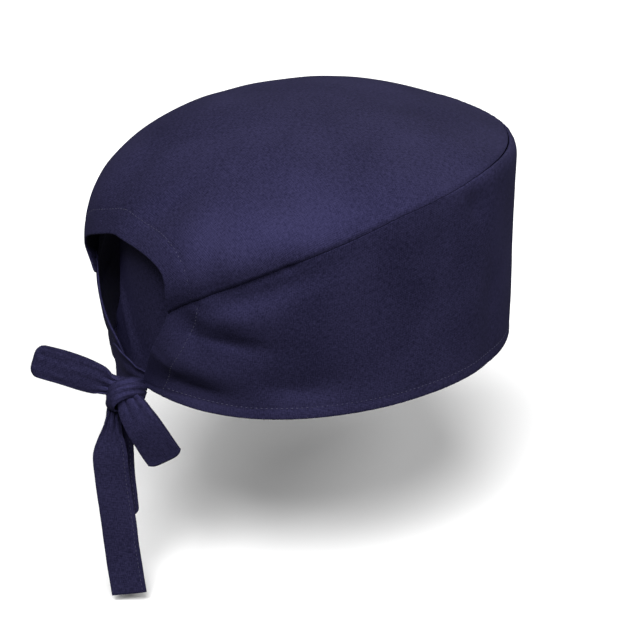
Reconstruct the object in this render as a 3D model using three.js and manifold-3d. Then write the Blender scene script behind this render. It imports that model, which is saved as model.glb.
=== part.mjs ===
// A surgical cap of plain woven cloth in millimetres: a deep side band, a domed crown panel
// and a back opening drawn together by a tied bow. +Z is up, the front faces -Y, the bow is
// at +Y and the wearer's right is -X. The origin is the middle of the rim, where a head
// goes in. Every panel is a thin wall worked out from the sizes and short tables below.

import * as THREE from 'three';
import { mergeVertices } from 'three/addons/utils/BufferGeometryUtils.js';
import Module from 'manifold-3d';

// Body sizes
const RIM_LENGTH = 206;
const RIM_WIDTH = 169.5;
const RIM_SQUARENESS = 2.08;
const BAND_HEIGHT = 104;
const CAP_HEIGHT = 126;
const PEAK_BACK = 19;
const SEAM_ROLL = 8;
const SEAM_GAP = 0.4;

// Cloth and hems
const CLOTH = 1.2;
const HEM_CLOTH = 1.8;
const HEM_WIDTH = 12.5;
const RIM_HEM_WIDTH = 6;

// Back opening
const OPENING_HEIGHT = 79;
const OPENING_RIGHT = 40;
const OPENING_LEFT = 30;

// Inner flap behind the opening
const FLAP_INSET = 3.8;
const FLAP_LOW = 4;
const FLAP_HIGH = 80;
const FLAP_RIGHT_TURN = 32;
const FLAP_LEFT_TURN = 22;
const FLAP_SEWN_TURN = 9;

// Bow
const TIE_WIDTH = 17;
const TIE_CLOTH = 1.2;
const TIE_TURN = 58;
const KNOT_WIDTH = 22;
const KNOT_HEIGHT = 17;
const KNOT_DEPTH = 13;
const KNOT_ASIDE = 5;
const KNOT_UP = 2;
const KNOT_STAND = 7;
const LOOP_LEFT_LENGTH = 44.5;
const LOOP_RIGHT_LENGTH = 40;
const LOOP_GAP = 2.4;
const TAIL_LONG_LENGTH = 114.5;
const TAIL_SHORT_LENGTH = 72;
const LEAD_LOW = 5.5;
const LEAD_WIDTH = 11;
const LEAD_FALL = 4;
const LEAD_TWIST = 2.4;
const FIT_GAP = 0.35;

// The seam between band and crown, the same on both sides. at: degrees from the front.
// high: seam height over BAND_HEIGHT. out: seam radius over the rim's radius. slope: the
// crown's first slope, degrees from the horizontal. lift: the rim's rise over BAND_HEIGHT.
const SEAM = [
  { at: 0, high: 0.99, out: 0.955, slope: 23, lift: 0 },
  { at: 30, high: 0.995, out: 0.955, slope: 31, lift: 0 },
  { at: 55, high: 1.002, out: 0.965, slope: 43, lift: 0 },
  { at: 75, high: 0.978, out: 0.987, slope: 57, lift: 0 },
  { at: 90, high: 0.951, out: 1.02, slope: 69, lift: 0 },
  { at: 110, high: 0.858, out: 1.055, slope: 90, lift: 0 },
  { at: 130, high: 0.729, out: 1.08, slope: 108, lift: 0.001 },
  { at: 150, high: 0.575, out: 1.09, slope: 117, lift: 0.006 },
  { at: 165, high: 0.43, out: 1.085, slope: 121, lift: 0.02 },
  { at: 180, high: 0.37, out: 1.075, slope: 123, lift: 0.034 },
];
// How far the crown's two guide points lie along its slope and out from its peak
const CROWN_RISE = 0.51;
const CROWN_FLAT = 0.52;

// Half widths of the back opening. up: level over OPENING_HEIGHT. right and left: over
// OPENING_RIGHT and OPENING_LEFT.
const OPENING = [
  { up: 0, right: 0.15, left: 0.33 },
  { up: 0.1, right: 0.23, left: 0.47 },
  { up: 0.2, right: 0.37, left: 0.6 },
  { up: 0.35, right: 0.58, left: 0.77 },
  { up: 0.5, right: 0.775, left: 0.89 },
  { up: 0.62, right: 0.89, left: 0.95 },
  { up: 0.74, right: 0.975, left: 0.985 },
  { up: 0.85, right: 1, left: 1 },
  { up: 0.93, right: 0.89, left: 0.86 },
  { up: 0.98, right: 0.62, left: 0.5 },
  { up: 1, right: 0, left: 0 },
];

// Folds, hollows and dents. at: degrees from the front, positive on the wearer's right.
// up, run, wide and deep: middle height, half length, half width and depth over
// BAND_HEIGHT, inward when negative. turn: degrees of the fold's line from level.
const FOLDS = [
  { at: 133, up: 0.635, run: 0.3, wide: 0.07, turn: -22, deep: -0.026 },
  { at: 151, up: 0.45, run: 0.13, wide: 0.075, turn: 80, deep: -0.02 },
  { at: 140, up: 0.4, run: 0.2, wide: 0.07, turn: 12, deep: -0.022 },
  { at: 141, up: 0.53, run: 0.16, wide: 0.075, turn: 10, deep: 0.014 },
  { at: 153, up: 0.09, run: 0.22, wide: 0.075, turn: 4, deep: -0.024 },
  { at: 150, up: 0.24, run: 0.24, wide: 0.08, turn: 12, deep: 0.02 },
  { at: 120, up: 0.15, run: 0.24, wide: 0.09, turn: 6, deep: -0.016 },
  { at: 66, up: 0.86, run: 0.12, wide: 0.07, turn: 60, deep: -0.02 },
  { at: 57, up: 0.3, run: 0.26, wide: 0.09, turn: 86, deep: -0.014 },
  { at: 143, up: 0.72, run: 0.22, wide: 0.07, turn: 88, deep: -0.01 },
  { at: -138, up: 0.6, run: 0.28, wide: 0.07, turn: 20, deep: -0.024 },
  { at: -150, up: 0.2, run: 0.22, wide: 0.08, turn: -10, deep: 0.018 },
  { at: -125, up: 0.25, run: 0.24, wide: 0.08, turn: -8, deep: -0.016 },
  { at: -62, up: 0.5, run: 0.3, wide: 0.09, turn: 80, deep: -0.012 },
];

// Soft hollows of the crown, placed from its peak. at: degrees from the front. out:
// middle over the way from the seam to the peak. wide, run, deep: over CAP_HEIGHT.
const CROWN_DENTS = [
  { at: 168, out: 0.42, run: 0.22, wide: 0.07, turn: 62, deep: -0.018 },
  { at: -165, out: 0.5, run: 0.2, wide: 0.07, turn: 110, deep: -0.014 },
  { at: 120, out: 0.35, run: 0.3, wide: 0.09, turn: 12, deep: -0.012 },
  { at: -95, out: 0.4, run: 0.26, wide: 0.09, turn: -14, deep: -0.012 },
  { at: 30, out: 0.5, run: 0.26, wide: 0.1, turn: 20, deep: -0.01 },
];

// The bow's straps, placed from the knot's middle in the bow's own upright plane. right,
// up and out: over the strap's length, or out over TIE_WIDTH. wide: over TIE_WIDTH. lean:
// degrees that the strap's width turns about its own run.
const LOOP_LEFT = [
  { along: 0.04, up: 0.02, out: 0, wide: 0.45, gap: 0.55 },
  { along: 0.18, up: 0.055, out: 0.01, wide: 0.6, gap: 0.6 },
  { along: 0.3, up: 0.11, out: 0.02, wide: 0.82, gap: 1 },
  { along: 0.5, up: 0.19, out: 0.02, wide: 0.9, gap: 1.3 },
  { along: 0.72, up: 0.27, out: 0.01, wide: 0.92, gap: 1.25 },
  { along: 0.9, up: 0.325, out: 0, wide: 0.92, gap: 0.9 },
  { along: 0.965, up: 0.345, out: -0.01, wide: 0.9, gap: 0.45 },
];
const LOOP_RIGHT = [
  { along: 0.025, up: -0.05, out: 0.306, wide: 0.62, gap: 0.55 },
  { along: 0.1, up: -0.212, out: 0.424, wide: 0.86, gap: 0.6 },
  { along: 0.21, up: -0.425, out: 0.447, wide: 0.97, gap: 0.9 },
  { along: 0.325, up: -0.65, out: 0.376, wide: 1.0, gap: 0.85 },
  { along: 0.425, up: -0.845, out: 0.306, wide: 1.03, gap: 0.55 },
  { along: 0.453, up: -0.897, out: 0.294, wide: 1.03, gap: 0.4 },
];
const TAIL_LONG = [
  { along: -0.035, up: -0.017, out: 0.0, wide: 0.42 },
  { along: -0.059, up: -0.114, out: 0.088, wide: 0.36 },
  { along: -0.065, up: -0.175, out: 0.129, wide: 0.5 },
  { along: -0.072, up: -0.24, out: 0.153, wide: 0.8 },
  { along: -0.077, up: -0.314, out: 0.159, wide: 0.99 },
  { along: -0.072, up: -0.437, out: 0.129, wide: 1.0 },
  { along: -0.062, up: -0.55, out: 0.094, wide: 1.0 },
  { along: -0.052, up: -0.664, out: 0.076, wide: 1.01 },
  { along: -0.043, up: -0.786, out: 0.071, wide: 1.02 },
  { along: -0.031, up: -0.9, out: 0.082, wide: 1.03 },
  { along: -0.02, up: -0.996, out: 0.1, wide: 1.03 },
];
const TAIL_SHORT = [
  { along: 0.0, up: -0.042, out: -0.247, wide: 0.42 },
  { along: -0.035, up: -0.194, out: -0.271, wide: 0.6 },
  { along: -0.078, up: -0.375, out: -0.294, wide: 0.9 },
  { along: -0.087, up: -0.5, out: -0.294, wide: 0.97 },
  { along: -0.082, up: -0.694, out: -0.259, wide: 0.97 },
  { along: -0.071, up: -0.861, out: -0.241, wide: 0.97 },
  { along: -0.065, up: -0.958, out: -0.235, wide: 0.95 },
  { along: -0.064, up: -0.993, out: -0.235, wide: 0.8 },
];
// The knot's sections from its left end to its right end: half width across, half height
// and half depth over KNOT_WIDTH, KNOT_HEIGHT and KNOT_DEPTH
const KNOT = [
  { across: -0.5, high: 0.12, deep: 0.12, drop: -0.22 },
  { across: -0.44, high: 0.36, deep: 0.34, drop: -0.19 },
  { across: -0.26, high: 0.5, deep: 0.46, drop: -0.11 },
  { across: -0.05, high: 0.44, deep: 0.5, drop: -0.05 },
  { across: 0.16, high: 0.42, deep: 0.5, drop: -0.06 },
  { across: 0.36, high: 0.34, deep: 0.4, drop: -0.09 },
  { across: 0.46, high: 0.24, deep: 0.26, drop: -0.12 },
  { across: 0.5, high: 0.1, deep: 0.12, drop: -0.14 },
];

const DEG = Math.PI / 180;
const V = (x, y, z) => new THREE.Vector3(x, y, z);
const clamp = THREE.MathUtils.clamp;
const RIM_RADIUS = (RIM_LENGTH + RIM_WIDTH) / 4;

// Tables
// A smooth curve through one column of a table that never overshoots its rows
function column(rows, key, name) {
  const x = rows.map((row) => row[key]);
  const y = rows.map((row) => row[name]);
  const step = x.slice(1).map((value, i) => value - x[i]);
  const rise = y.slice(1).map((value, i) => (value - y[i]) / step[i]);
  const slope = x.map((_, i) => {
    if (i === 0) return rise[0];
    if (i === x.length - 1) return rise[i - 1];
    if (rise[i - 1] * rise[i] <= 0) return 0;
    const a = 2 * step[i] + step[i - 1];
    const b = step[i] + 2 * step[i - 1];
    return (a + b) / (a / rise[i - 1] + b / rise[i]);
  });
  return (value) => {
    const q = clamp(value, x[0], x[x.length - 1]);
    let i = 0;
    while (i < x.length - 2 && q > x[i + 1]) i += 1;
    const t = (q - x[i]) / step[i];
    const a = (1 + 2 * t) * (1 - t) * (1 - t);
    const b = t * (1 - t) * (1 - t);
    const c = t * t * (3 - 2 * t);
    const d = t * t * (t - 1);
    return a * y[i] + b * step[i] * slope[i] + c * y[i + 1] + d * step[i] * slope[i + 1];
  };
}
const seamHigh = column(SEAM, 'at', 'high');
const seamOut = column(SEAM, 'at', 'out');
const seamSlope = column(SEAM, 'at', 'slope');
const rimLift = column(SEAM, 'at', 'lift');
const openRight = column(OPENING, 'up', 'right');
const openLeft = column(OPENING, 'up', 'left');

// Smooth body, without its folds
function rimPoint(turn) {
  const s = Math.sin(turn);
  const c = Math.cos(turn);
  const n = 2 / RIM_SQUARENESS;
  const x = -Math.sign(s) * Math.abs(s) ** n * RIM_WIDTH / 2;
  const y = -Math.sign(c) * Math.abs(c) ** n * RIM_LENGTH / 2;
  return V(x, y, 0);
}
const degrees = (turn) => Math.abs(turn) / DEG;
function bandPoint(turn, share) {
  const at = degrees(turn);
  const top = seamHigh(at) * BAND_HEIGHT;
  const out = seamOut(at);
  const widest = Math.max(out, 1);
  const level = share * top;
  const roll = clamp((level - top + SEAM_ROLL) / SEAM_ROLL, 0, 1);
  const ease = share * share * (3 - 2 * share);
  const scale = 1 + (widest - 1) * ease + (out - widest) * (1 - Math.sqrt(1 - roll * roll));
  const point = rimPoint(turn).multiplyScalar(scale);
  point.z = level + rimLift(at) * BAND_HEIGHT * (1 - share) ** 1.5;
  return point;
}
function crownPoint(turn, share) {
  const seam = bandPoint(turn, 1);
  const rise = CAP_HEIGHT - seam.z;
  const dx = seam.x;
  const dy = seam.y - PEAK_BACK;
  const radius = Math.hypot(dx, dy);
  const slope = seamSlope(degrees(turn)) * DEG;
  const length = CROWN_RISE * rise / Math.sin(slope);
  const t = share;
  const a = (1 - t) ** 3;
  const b = 3 * (1 - t) * (1 - t) * t;
  const c = 3 * (1 - t) * t * t;
  const r = a * radius + b * (radius - length * Math.cos(slope)) + c * CROWN_FLAT * radius;
  const z = a * seam.z + b * (seam.z + length * Math.sin(slope)) + (c + t ** 3) * CAP_HEIGHT;
  return V(dx / radius * r, PEAK_BACK + dy / radius * r, z);
}

// Folds
function foldDepth(turn, level) {
  let depth = 0;
  for (const fold of FOLDS) {
    let away = turn / DEG - fold.at;
    away -= 360 * Math.round(away / 360);
    const u = away * DEG * RIM_RADIUS;
    const v = level - fold.up * BAND_HEIGHT;
    const c = Math.cos(fold.turn * DEG);
    const s = Math.sin(fold.turn * DEG);
    const along = (c * u + s * v) / (fold.run * BAND_HEIGHT);
    const across = (c * v - s * u) / (fold.wide * BAND_HEIGHT);
    depth += fold.deep * BAND_HEIGHT * Math.exp(-along * along - across * across);
  }
  return depth;
}
const dents = CROWN_DENTS.map((dent) => ({ ...dent, middle: crownPoint(dent.at * DEG, dent.out) }));
function dentDepth(point) {
  let depth = 0;
  for (const dent of dents) {
    const x = point.x - dent.middle.x;
    const y = point.y - dent.middle.y;
    const c = Math.cos(dent.turn * DEG);
    const s = Math.sin(dent.turn * DEG);
    const along = (c * x + s * y) / (dent.run * CAP_HEIGHT);
    const across = (c * y - s * x) / (dent.wide * CAP_HEIGHT);
    depth += dent.deep * CAP_HEIGHT * Math.exp(-along * along - across * across);
  }
  return depth;
}

// Back opening: the turn at which a row of a panel meets the opening's edge
function edgeTurn(surface, share, half, size) {
  let low = Math.PI / 2;
  let high = Math.PI;
  for (let i = 0; i < 40; i += 1) {
    const middle = (low + high) / 2;
    const point = surface(middle, share);
    const up = point.z / OPENING_HEIGHT;
    const open = up < 1 ? half(up) * size : 0;
    if (Math.abs(point.x) > open) low = middle;
    else high = middle;
  }
  return (low + high) / 2;
}
function archShare() {
  let low = 0;
  let high = 1;
  for (let i = 0; i < 40; i += 1) {
    const middle = (low + high) / 2;
    if (crownPoint(Math.PI, middle).z < OPENING_HEIGHT) low = middle;
    else high = middle;
  }
  return (low + high) / 2;
}

// Panels as grids. Row by row, from the edge on the wearer's right round the front.
const COLUMNS = 52;
const HEM_COLUMNS = [0, 0.5, 0.92, 1];
function rowTurns(surface, share) {
  const turns = [];
  const half = COLUMNS / 2;
  for (const side of [1, -1]) {
    const edge = side > 0
      ? edgeTurn(surface, share, openRight, OPENING_RIGHT)
      : edgeTurn(surface, share, openLeft, OPENING_LEFT);
    const hem = HEM_WIDTH / RIM_RADIUS;
    const list = HEM_COLUMNS.map((part) => edge - hem * part);
    const rest = half - HEM_COLUMNS.length + 1;
    for (let i = 1; i <= rest; i += 1) {
      list.push((edge - hem) * (1 - (i / rest) ** 1.25));
    }
    if (side > 0) turns.push(...list);
    else turns.push(...list.slice(0, -1).reverse().map((turn) => -turn));
  }
  return turns;
}

const arch = archShare();
const archHem = HEM_WIDTH / CAP_HEIGHT / 1.25;
const crownRows = [0, 0.2, 0.4, 0.58, 0.74, 0.86, 0.94, 0.98, 1].map((part) => part * arch);
for (const part of [0.5, 0.92, 1]) crownRows.push(arch + archHem * part);
const closedFrom = crownRows.indexOf(arch);
const above = arch + archHem;
for (const part of [0.16, 0.34, 0.54, 0.76]) crownRows.push(above + (1 - above) * part);

function normals(grid, closed) {
  return grid.map((row, i) => row.map((point, j) => {
    const last = row.length - 1;
    const round = closed(i);
    const before = j > 0 ? row[j - 1] : (round ? row[last - 1] : row[j]);
    const after = j < last ? row[j + 1] : (round ? row[1] : row[j]);
    const below = i > 0 ? grid[i - 1][j] : point;
    const over = i < grid.length - 1 ? grid[i + 1][j] : point;
    const around = after.clone().sub(before);
    const upward = over.clone().sub(below);
    return around.cross(upward).normalize();
  }));
}

const open = () => false;
const bandTurns = (share) => rowTurns(bandPoint, share);
const bandRows = [
  { from: 0, part: 0 },
  { from: 0, part: 0.9 },
  { from: 0, part: 1 },
  { from: 1, part: 0.16 },
  { from: 1, part: 0.34 },
  { from: 1, part: 0.52 },
  { from: 1, part: 0.7 },
  { from: 1, part: 0.86 },
  { from: 1, part: 1 },
  { from: 2, part: 0.45 },
  { from: 2, part: 0.75 },
  { from: 2, part: 0.93 },
  { from: 2, part: 1 },
];
// A band row's share of the seam height: in the rim's hem, on the plain wall or in the roll
function bandShare(row, turn) {
  const top = seamHigh(degrees(turn)) * BAND_HEIGHT;
  const hem = RIM_HEM_WIDTH / top;
  const roll = 1 - SEAM_ROLL / top;
  if (row.from === 0) return hem * row.part;
  if (row.from === 1) return hem + (roll - hem) * row.part;
  return roll + (1 - roll) * row.part;
}
const smoothBand = bandRows.map((row) => {
  const edgeShare = bandShare(row, Math.PI * 0.93);
  return bandTurns(edgeShare).map((turn) => ({ turn, point: bandPoint(turn, bandShare(row, turn)) }));
});
const smoothCrown = crownRows.map((share, i) => {
  const turns = rowTurns(crownPoint, share);
  if (i >= closedFrom) turns[0] = Math.PI;
  return turns.map((turn) => ({ turn, point: crownPoint(turn, share) }));
});
const crownClosed = (i) => i >= closedFrom;

// The opening's edge, for the hem's thickness
const edgeLine = [];
smoothBand.forEach((row) => edgeLine.push(row[0].point, row[row.length - 1].point));
smoothCrown.slice(0, closedFrom + 1).forEach((row) => {
  edgeLine.push(row[0].point, row[row.length - 1].point);
});
function openingDistance(point) {
  let best = Infinity;
  for (let i = 0; i + 2 < edgeLine.length; i += 1) {
    const line = new THREE.Line3(edgeLine[i], edgeLine[i + 2]);
    const near = line.closestPointToPoint(point, true, V(0, 0, 0));
    best = Math.min(best, near.distanceTo(point));
  }
  return best;
}
function wallAt(point, rimDistance) {
  const near = Math.min(openingDistance(point) / HEM_WIDTH, rimDistance / RIM_HEM_WIDTH);
  return near < 0.96 ? HEM_CLOTH : CLOTH;
}

// Presses the folds into a grid. dented: how far each row takes the crown's own hollows.
function folded(rows, closed, dented) {
  const grid = rows.map((row) => row.map((cell) => cell.point));
  const out = normals(grid, closed);
  return rows.map((row, i) => row.map((cell, j) => {
    const depth = foldDepth(cell.turn, cell.point.z) + dented(i) * dentDepth(cell.point);
    return cell.point.clone().addScaledVector(out[i][j], depth);
  }));
}
const bandGrid = folded(smoothBand, open, () => 0);
const crownGrid = folded(smoothCrown, crownClosed, (i) => (
  THREE.MathUtils.smoothstep(crownRows[i], 0, 0.25)));

// Seam: both panels end on one mitred edge and stand off it by half the seam's gap
const bandOut = normals(bandGrid, open);
const crownOut = normals(crownGrid, crownClosed);
const lastBand = bandGrid.length - 1;
const mitre = crownOut[0].map((normal, j) => {
  const sum = normal.clone().add(bandOut[lastBand][j]).normalize();
  return sum.multiplyScalar(1 / Math.max(0.7, sum.dot(normal)));
});
const seamLine = crownGrid[0].map((point, j) => point.clone().lerp(bandGrid[lastBand][j], 0.5));
seamLine.forEach((point, j) => {
  const down = bandGrid[lastBand - 1][j].clone().sub(point).setLength(SEAM_GAP / 2);
  const up = crownGrid[1][j].clone().sub(point).setLength(SEAM_GAP / 2);
  bandGrid[lastBand][j] = point.clone().add(down);
  crownGrid[0][j] = point.clone().add(up);
});
bandOut[lastBand] = mitre;
crownOut[0] = mitre;

// Closes a skin into a wall: the faces, the same faces turned over on the other side, and
// a strip along every edge that only one face has
function wall(front, back, faces) {
  const count = front.length;
  const all = faces.map((face) => face.slice());
  const edges = new Set();
  for (const [a, b, c] of faces) {
    all.push([a + count, c + count, b + count]);
    edges.add(`${a},${b}`);
    edges.add(`${b},${c}`);
    edges.add(`${c},${a}`);
  }
  for (const edge of edges) {
    const [a, b] = edge.split(',').map(Number);
    if (edges.has(`${b},${a}`)) continue;
    all.push([a, a + count, b + count], [a, b + count, b]);
  }
  const geometry = new THREE.BufferGeometry();
  const flat = [...front, ...back].flatMap((point) => [point.x, point.y, point.z]);
  geometry.setAttribute('position', new THREE.Float32BufferAttribute(flat, 3));
  geometry.setIndex(all.flat());
  return mergeVertices(geometry, 1e-4);
}
function gridFaces(grid, number) {
  const faces = [];
  for (let i = 0; i + 1 < grid.length; i += 1) {
    for (let j = 0; j + 1 < grid[i].length; j += 1) {
      const a = number(i, j);
      const b = number(i, j + 1);
      const c = number(i + 1, j + 1);
      const d = number(i + 1, j);
      for (const face of [[a, b, c], [a, c, d]]) {
        if (new Set(face).size === 3) faces.push(face);
      }
    }
  }
  return faces;
}

function bandGeometry() {
  const wide = bandGrid[0].length;
  const front = bandGrid.flat();
  const back = bandGrid.flatMap((row, i) => row.map((point, j) => {
    const cell = smoothBand[i][j];
    const thick = wallAt(cell.point, bandRows[i].from === 0 ? cell.point.z : RIM_HEM_WIDTH);
    return point.clone().addScaledVector(bandOut[i][j], -thick);
  }));
  return wall(front, back, gridFaces(bandGrid, (i, j) => i * wide + j));
}
function crownGeometry() {
  const wide = crownGrid[0].length;
  const number = (i, j) => {
    if (i === crownGrid.length) return crownGrid.length * wide;
    return i * wide + (crownClosed(i) && j === wide - 1 ? 0 : j);
  };
  const peak = V(0, PEAK_BACK, CAP_HEIGHT);
  peak.z += dentDepth(peak);
  const rows = [...crownGrid, crownGrid[0].map(() => peak)];
  const front = [...crownGrid.flat(), peak];
  const back = crownGrid.flatMap((row, i) => row.map((point, j) => {
    const thick = wallAt(smoothCrown[i][j].point, RIM_HEM_WIDTH);
    return point.clone().addScaledVector(crownOut[i][j], -thick);
  }));
  back.push(peak.clone().add(V(0, 0, -CLOTH)));
  const faces = gridFaces(rows, number);
  const used = new Map();
  for (const corner of faces.flat()) if (!used.has(corner)) used.set(corner, used.size);
  const pick = (list) => [...used.keys()].map((corner) => list[corner]);
  return wall(pick(front), pick(back), faces.map((face) => face.map((corner) => used.get(corner))));
}

// Inner flap: an upright panel inside the opening, sewn to the band's inside on the
// wearer's right and free on the left
function flapPoint(turn, level) {
  const at = degrees(turn);
  const rim = rimPoint(turn);
  const share = clamp(level / (seamHigh(at) * BAND_HEIGHT), 0, 1);
  const skin = bandPoint(turn, share).setZ(0).length() + Math.min(0, foldDepth(turn, level));
  const most = skin - HEM_CLOTH - CLOTH - FIT_GAP;
  const free = Math.min(rim.length() - FLAP_INSET, most);
  const sewn = THREE.MathUtils.smoothstep(turn / DEG - 180 + FLAP_RIGHT_TURN, 0, FLAP_SEWN_TURN);
  const radius = turn > 0 ? most + (free - most) * sewn : free;
  return rim.setLength(radius).setZ(level);
}
function flapGeometry() {
  const around = 16;
  const levels = 9;
  const wide = FLAP_RIGHT_TURN + FLAP_LEFT_TURN;
  const grid = Array.from({ length: levels + 1 }, (_, i) => {
    const level = FLAP_LOW + (FLAP_HIGH - FLAP_LOW) * i / levels;
    return Array.from({ length: around + 1 }, (__, j) => {
      const past = (wide * j / around - FLAP_RIGHT_TURN) * DEG;
      return flapPoint(past > 0 ? past - Math.PI : past + Math.PI, level);
    });
  });
  return sheet(grid.map((row) => row.reverse()), CLOTH);
}

// Bow
const facing = (180 - 90 + TIE_TURN) * DEG;
const OUT = V(Math.cos(facing), Math.sin(facing), 0);
const RIGHT = V(0, 0, 1).cross(OUT);
const UP = V(0, 0, 1);
const knotMiddle = V(-KNOT_ASIDE, RIM_LENGTH / 2 + KNOT_STAND, KNOT_UP);
const place = (right, up, out) => knotMiddle.clone()
  .addScaledVector(RIGHT, right).addScaledVector(UP, up).addScaledVector(OUT, out);

// A strap of flat cloth: a grid of points given its thickness on both sides
function sheet(grid, thick) {
  const out = normals(grid, open);
  const wide = grid[0].length;
  const side = (sign) => grid.flatMap((row, i) => row.map((point, j) => (
    point.clone().addScaledVector(out[i][j], sign * thick / 2))));
  return wall(side(1), side(-1), gridFaces(grid, (i, j) => i * wide + j));
}
// Places a strap's rows along a smooth centre line, each as wide as its table says
function strapRows(table, length, side, steps) {
  const points = table.map((row) => place(side * row.along * length, row.up * length,
    row.out * TIE_WIDTH));
  const line = new THREE.CatmullRomCurve3(points, false, 'centripetal');
  const keys = table.map((row, i) => ({ ...row, at: i / (table.length - 1) }));
  const wide = column(keys, 'at', 'wide');
  const gap = keys[0].gap === undefined ? () => 0 : column(keys, 'at', 'gap');
  return Array.from({ length: steps + 1 }, (_, i) => {
    const t = i / steps;
    const along = line.getTangent(t);
    const across = OUT.clone().cross(along).normalize();
    return { middle: line.getPoint(t), across, along, wide: wide(t) * TIE_WIDTH, gap: gap(t) };
  });
}
const ACROSS = [-0.5, 0, 0.5];
function tail(table, length, steps) {
  const rows = strapRows(table, length, 1, steps);
  return sheet(rows.map((row) => ACROSS.map((part) => (
    row.middle.clone().addScaledVector(row.across, part * row.wide)))), TIE_CLOTH);
}
// A loop: out along the front ply, round the fold at its end and back along the rear ply
function loop(table, length, side, steps) {
  const rows = strapRows(table, length, side, steps);
  const half = (row) => row.gap * (LOOP_GAP + TIE_CLOTH) / 2;
  const ply = (row, sign) => ACROSS.map((part) => (
    row.middle.clone().addScaledVector(row.across, part * row.wide)
      .addScaledVector(OUT, sign * half(row))));
  const last = rows[rows.length - 1];
  const bend = [60, 0, -60].map((turn) => ACROSS.map((part) => (
    last.middle.clone().addScaledVector(last.across, part * last.wide)
      .addScaledVector(OUT, half(last) * Math.sin(turn * DEG))
      .addScaledVector(last.along, half(last) * Math.cos(turn * DEG)))));
  const grid = [...rows.map((row) => ply(row, 1)), ...bend,
    ...rows.slice().reverse().map((row) => ply(row, -1))];
  return sheet(grid, TIE_CLOTH);
}
function knotGeometry(extra) {
  const round = 14;
  const rings = KNOT.map((row) => Array.from({ length: round }, (_, i) => {
    const turn = i / round * 2 * Math.PI;
    const up = Math.cos(turn) * (row.high * KNOT_HEIGHT + extra) + row.drop * KNOT_HEIGHT;
    const out = Math.sin(turn) * (row.deep * KNOT_DEPTH + extra);
    return place(row.across * (KNOT_WIDTH + 2 * extra), up, out);
  }));
  const points = rings.flat();
  const ends = [rings[0], rings[rings.length - 1]].map((ring) => (
    ring.reduce((sum, point) => sum.add(point), V(0, 0, 0)).divideScalar(round)));
  const faces = [];
  const start = points.length;
  const end = start + 1;
  for (let i = 0; i < round; i += 1) {
    const next = (i + 1) % round;
    faces.push([start, next, i]);
    const last = (rings.length - 1) * round;
    faces.push([end, last + i, last + next]);
    for (let k = 0; k + 1 < rings.length; k += 1) {
      const a = k * round + i;
      const b = k * round + next;
      faces.push([a, b, b + round], [a, b + round, a + round]);
    }
  }
  const geometry = new THREE.BufferGeometry();
  const flat = [...points, ...ends].flatMap((point) => [point.x, point.y, point.z]);
  geometry.setAttribute('position', new THREE.Float32BufferAttribute(flat, 3));
  geometry.setIndex(faces.flat());
  return geometry;
}

// The lead from the band's left end: it starts along that end's edge, turns over, passes
// behind the knot and ends against the band's right end
function edgeAt(line, level, aside) {
  let i = 0;
  while (i < line.length - 2 && line[i + 1].z < level) i += 1;
  const part = (level - line[i].z) / (line[i + 1].z - line[i].z);
  return line[i].clone().lerp(line[i + 1], part).add(V(aside, -HEM_CLOTH / 2, 0));
}
function leadGeometry() {
  const left = bandGrid.map((row) => row[row.length - 1]);
  const right = bandGrid.map((row) => row[0]);
  const aside = FIT_GAP + HEM_CLOTH * 0.3;
  const steps = 8;
  const parts = [0, 0.25, 0.5, 0.75, 1];
  const ends = parts.map((part) => {
    const level = LEAD_LOW + LEAD_WIDTH * part;
    return [edgeAt(left, level, -aside), edgeAt(right, level - LEAD_FALL, aside)];
  });
  const grid = Array.from({ length: steps + 1 }, (_, i) => {
    const t = i / steps;
    const bow = Math.sin(t * Math.PI) * LEAD_TWIST;
    return parts.map((part, k) => (
      ends[k][0].clone().lerp(ends[k][1], t).add(V(0, bow * (0.1 + 0.6 * part), -bow * part))));
  });
  return sheet(grid, TIE_CLOTH);
}

// Cutting
const wasm = await Module();
wasm.setup();
function solid(geometry) {
  return new wasm.Manifold(new wasm.Mesh({
    numProp: 3,
    vertProperties: Float32Array.from(geometry.getAttribute('position').array),
    triVerts: Uint32Array.from(geometry.getIndex().array),
  }));
}
function asGeometry(body) {
  const mesh = body.getMesh();
  const geometry = new THREE.BufferGeometry();
  const flat = [];
  for (let i = 0; i < mesh.numVert; i += 1) {
    for (let k = 0; k < 3; k += 1) flat.push(mesh.vertProperties[i * mesh.numProp + k]);
  }
  geometry.setAttribute('position', new THREE.Float32BufferAttribute(flat, 3));
  geometry.setIndex([...mesh.triVerts]);
  return mergeVertices(geometry, 1e-3);
}
const knotRoom = solid(knotGeometry(FIT_GAP));
const clearOfKnot = (geometry) => asGeometry(solid(geometry).subtract(knotRoom));

const navy = 0x24224a;
const cloth = (colour) => new THREE.MeshStandardMaterial({ color: colour, roughness: 0.85, metalness: 0 });
const group = new THREE.Group();
function add(name, geometry, colour) {
  geometry.computeVertexNormals();
  const mesh = new THREE.Mesh(geometry, cloth(colour));
  mesh.name = name;
  group.add(mesh);
}
add('crown_panel', crownGeometry(), navy);
add('side_band', clearOfKnot(bandGeometry()), navy);
add('inner_flap', flapGeometry(), navy);
add('tie_lead_left', clearOfKnot(leadGeometry()), navy);
add('tie_knot', knotGeometry(0), navy);
add('bow_loop_left', clearOfKnot(loop(LOOP_LEFT, LOOP_LEFT_LENGTH, -1, 9)), navy);
add('bow_loop_right', clearOfKnot(loop(LOOP_RIGHT, LOOP_RIGHT_LENGTH, 1, 8)), navy);
add('tie_tail_long', clearOfKnot(tail(TAIL_LONG, TAIL_LONG_LENGTH, 14)), navy);
add('tie_tail_short', clearOfKnot(tail(TAIL_SHORT, TAIL_SHORT_LENGTH, 10)), navy);

export default group;
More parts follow.
